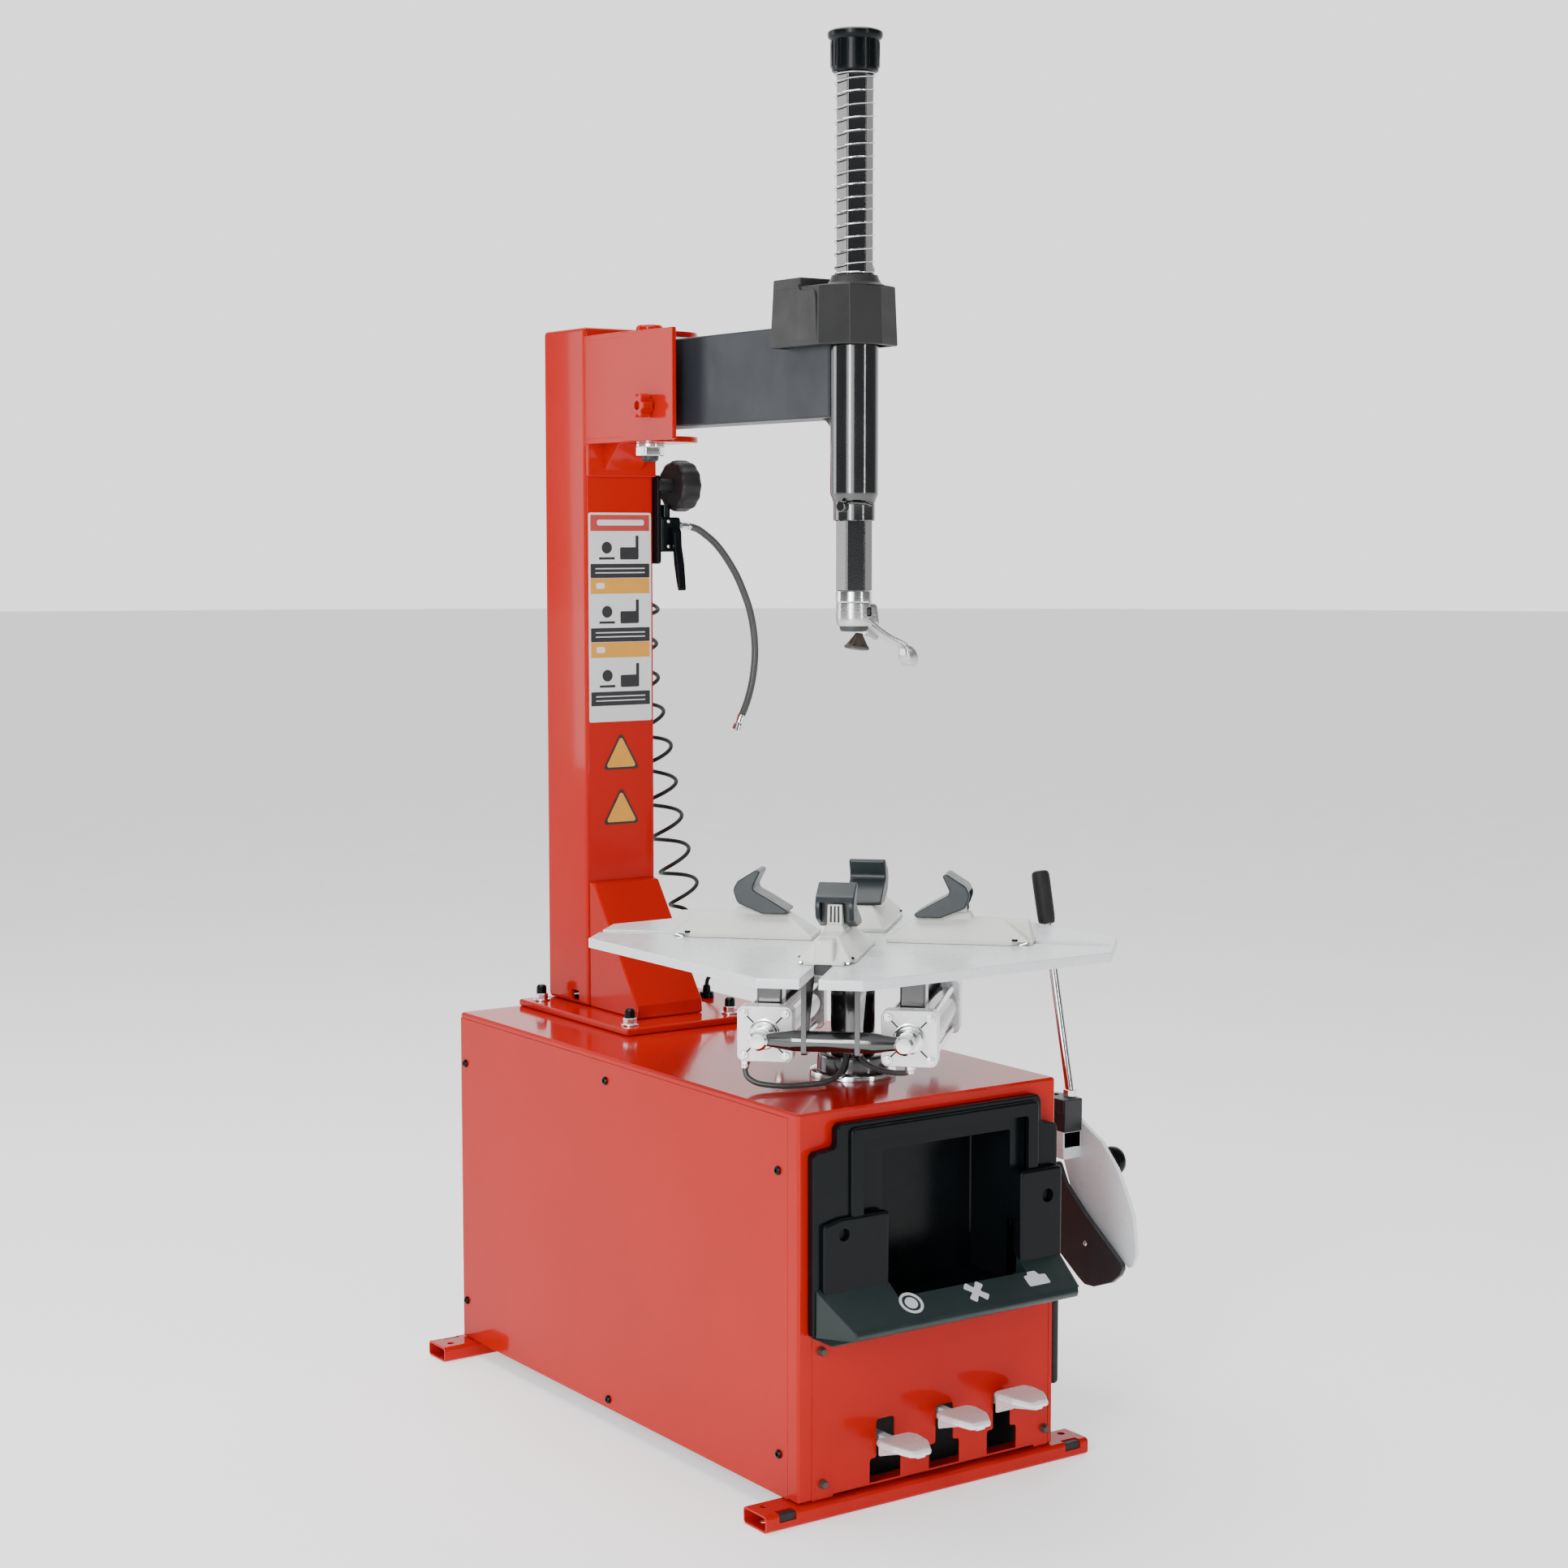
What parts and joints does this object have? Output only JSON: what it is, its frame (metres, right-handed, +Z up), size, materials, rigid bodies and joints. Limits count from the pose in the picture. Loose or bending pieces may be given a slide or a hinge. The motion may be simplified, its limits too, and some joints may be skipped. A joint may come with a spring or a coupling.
{
  "type": "tire changer",
  "caption": "Floor-standing tire changer with a clamping turntable, a swing arm with a mounting head, a side bead breaker, foot pedals, a tool tray and an inflator gauge.",
  "frame": {"origin": "middle of the machine's outline seen from above, on the floor, without its air hoses", "axes": "+X to the operator's right, towards the bead breaker; +Y back, towards the column; +Z up"},
  "size_m": [0.6898, 0.9764, 1.807],
  "materials": {
    "red_paint": "glossy red enamel",
    "black_paint": "glossy black enamel",
    "silver_paint": "satin silver-grey paint",
    "black_plastic": "moulded black plastic",
    "grey_plastic": "dark grey moulded jaw covers",
    "rubber": "black rubber",
    "cast_aluminium": "sand-cast, tumbled",
    "cast_head": "bright cast steel",
    "steel": "bright steel",
    "zinc": "zinc plated steel",
    "grey_paint": "grey machinery paint"
  },
  "bodies": {
    "machine": {"cabinet_shell": "red_paint", "side_panel_left": "red_paint", "front_panel": "red_paint", "tool_tray": "black_plastic", "foot_beam_front": "red_paint", "foot_beam_rear": "red_paint", "column_base_plate": "red_paint", "column": "red_paint", "column_gusset": "red_paint", "arm_bracket": "red_paint", "arm_pivot_pin": "zinc", "arm_stop_screw": "red_paint", "drive_gearbox": "grey_paint", "drive_motor": "grey_paint", "drive_belt": "rubber", "table_flange": "black_paint", "rubber_support_pad": "rubber", "breaker_hinge": "red_paint", "inflator_body": "black_plastic", "pressure_gauge": "black_plastic", "breaker_cylinder": "cast_aluminium", "pedal_shaft": "steel", "hose_grommet": "black_plastic", "inflator_hose": "rubber", "air_chuck": "zinc", "coiled_air_hose": "rubber", "air_hose_lead": "rubber", "air_hose_feed": "rubber"},
    "arm": {"swing_arm": "black_paint", "lock_cover": "black_plastic", "return_spring": "zinc"},
    "lever": {"lock_lever": "zinc"},
    "shaft": {"hex_shaft": "black_paint", "shaft_cap": "black_plastic", "mount_head": "cast_head", "head_roller": "black_plastic"},
    "table": {"turntable": "silver_paint", "turntable_hub": "black_paint", "clamp_cylinder_left": "black_paint", "clamp_cylinder_right": "black_paint"},
    "crossbar": {"clamp_crossbar": "black_paint"},
    "jaw_1": {"jaw_carriage_1": "silver_paint", "jaw_hook_1": "grey_plastic"},
    "jaw_2": {"jaw_carriage_2": "silver_paint", "jaw_hook_2": "grey_plastic"},
    "jaw_3": {"jaw_carriage_3": "silver_paint", "jaw_hook_3": "grey_plastic"},
    "jaw_4": {"jaw_carriage_4": "silver_paint", "jaw_hook_4": "grey_plastic"},
    "motor_wheel": {"motor_pulley": "cast_aluminium"},
    "worm_wheel": {"worm_pulley": "cast_aluminium"},
    "breaker": {"breaker_arm": "black_paint"},
    "blade": {"breaker_blade": "silver_paint", "breaker_handle": "steel", "breaker_knob": "black_plastic"},
    "rod": {"breaker_rod": "steel"},
    "pedal_left": {"pedal_1": "cast_aluminium"},
    "pedal_middle": {"pedal_2": "cast_aluminium"},
    "pedal_right": {"pedal_3": "cast_aluminium"},
    "trigger": {"inflator_trigger": "black_plastic"}
  },
  "joints": [
    {"name": "arm_swing", "type": "hinge", "parent": "machine", "child": "arm", "pos_m": [-0.0659, 0.27475, 1.39], "axis": [0, 0, 1], "range_deg": [0, 95]},
    {"name": "shaft_slide", "type": "slide", "parent": "arm", "child": "shaft", "axis": [0, 0, 1], "range_m": [-0.19, 0], "stiffness_N_per_m": 250, "springref_m": 0.4, "deforming": ["return_spring"]},
    {"name": "lock_lever_tilt", "type": "hinge", "parent": "arm", "child": "lever", "pos_m": [-0.0284, -0.16925, 1.5168], "axis": [1, 0, 0], "range_deg": [0, 30]},
    {"name": "turntable_spin", "type": "hinge", "parent": "machine", "child": "table", "pos_m": [-0.0659, -0.20925, 0.67], "axis": [0, 0, 1], "continuous": true},
    {"name": "crossbar_slide", "type": "slide", "parent": "table", "child": "crossbar", "axis": [-0.7071, -0.7071, 0], "range_m": [-0.01, 0.095]},
    {"name": "jaw_1_slide", "type": "slide", "parent": "table", "child": "jaw_1", "axis": [-0.7071, -0.7071, 0], "range_m": [-0.01, 0.095]},
    {"name": "jaw_2_slide", "type": "slide", "parent": "table", "child": "jaw_2", "axis": [0.7071, -0.7071, 0], "range_m": [-0.01, 0.095]},
    {"name": "jaw_3_slide", "type": "slide", "parent": "table", "child": "jaw_3", "axis": [0.7071, 0.7071, 0], "range_m": [-0.01, 0.095]},
    {"name": "jaw_4_slide", "type": "slide", "parent": "table", "child": "jaw_4", "axis": [-0.7071, 0.7071, 0], "range_m": [-0.01, 0.095]},
    {"name": "worm_pulley_spin", "type": "hinge", "parent": "machine", "child": "worm_wheel", "pos_m": [-0.1779, -0.15225, 0.35], "axis": [1, 0, 0], "continuous": true},
    {"name": "motor_pulley_spin", "type": "hinge", "parent": "machine", "child": "motor_wheel", "pos_m": [-0.1779, 0.04275, 0.24], "axis": [1, 0, 0], "continuous": true},
    {"name": "breaker_swing", "type": "hinge", "parent": "machine", "child": "breaker", "pos_m": [0.1791, 0.43275, 0.39], "axis": [0, 0, 1], "range_deg": [-7, 30]},
    {"name": "blade_swivel", "type": "hinge", "parent": "breaker", "child": "blade", "pos_m": [0.3056, -0.16925, 0.39], "axis": [0, 0, 1], "range_deg": [-20, 20]},
    {"name": "breaker_rod_slide", "type": "slide", "parent": "machine", "child": "rod", "axis": [1, 0, 0], "range_m": [-0.03, 0.1]},
    {"name": "pedal_1_press", "type": "hinge", "parent": "machine", "child": "pedal_left", "pos_m": [-0.1349, -0.24725, 0.07], "axis": [1, 0, 0], "range_deg": [-8, 12], "stiffness_Nm_per_rad": 20, "springref_deg": -0.92},
    {"name": "pedal_2_press", "type": "hinge", "parent": "machine", "child": "pedal_middle", "pos_m": [-0.0429, -0.24725, 0.07], "axis": [1, 0, 0], "range_deg": [0, 12], "stiffness_Nm_per_rad": 4, "springref_deg": -17.19},
    {"name": "pedal_3_press", "type": "hinge", "parent": "machine", "child": "pedal_right", "pos_m": [0.0491, -0.24725, 0.07], "axis": [1, 0, 0], "range_deg": [0, 12], "stiffness_Nm_per_rad": 4, "springref_deg": -17.19},
    {"name": "trigger_squeeze", "type": "hinge", "parent": "machine", "child": "trigger", "pos_m": [0.0181, 0.33875, 1.19], "axis": [1, 0, 0], "range_deg": [0, 8], "stiffness_Nm_per_rad": 0.3, "springref_deg": -5.73}
  ],
  "couplings": [
    {"joint": "crossbar_slide", "follows": "jaw_1_slide", "ratio": 1},
    {"joint": "jaw_2_slide", "follows": "jaw_1_slide", "ratio": 1},
    {"joint": "jaw_3_slide", "follows": "jaw_1_slide", "ratio": 1},
    {"joint": "jaw_4_slide", "follows": "jaw_1_slide", "ratio": 1},
    {"joint": "breaker_rod_slide", "follows": "breaker_swing", "m_per_rad": 0.18},
    {"joint": "motor_pulley_spin", "follows": "worm_pulley_spin", "ratio": 1.7857}
  ]
}
